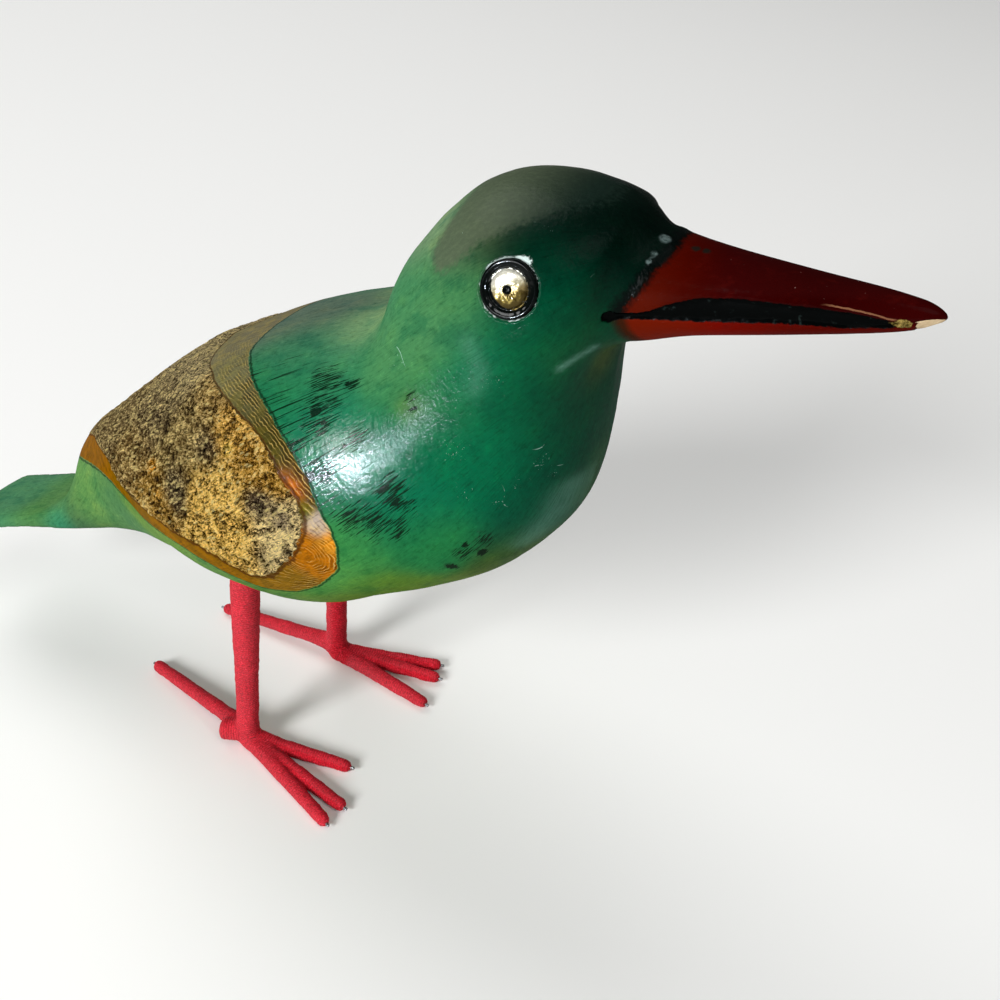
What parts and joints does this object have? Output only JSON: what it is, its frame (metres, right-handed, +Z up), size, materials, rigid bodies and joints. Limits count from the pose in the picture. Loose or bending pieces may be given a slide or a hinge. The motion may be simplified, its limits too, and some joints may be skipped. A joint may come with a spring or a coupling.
{
  "type": "bird figurine",
  "caption": "Carved and painted wooden bird with a long beak, bark left on its back and wings, tack eyes and thread-wrapped wire legs that it stands on.",
  "frame": {"origin": "middle of the footprint box of the whole figure, on the surface its feet stand on", "axes": "+Z up, +X the way the beak points, +Y toward the bird's left side"},
  "size_m": [0.2308, 0.0746, 0.1527],
  "materials": {
    "painted_wood": "gloss varnish over green paint, with bare bark",
    "wrapped_wire": "matte red thread",
    "tack_brass": "worn, partly painted over"
  },
  "bodies": {
    "root": {"carved_body": "painted_wood", "right_leg": "wrapped_wire", "left_leg": "wrapped_wire", "right_eye": "tack_brass", "left_eye": "tack_brass"}
  },
  "joints": []
}
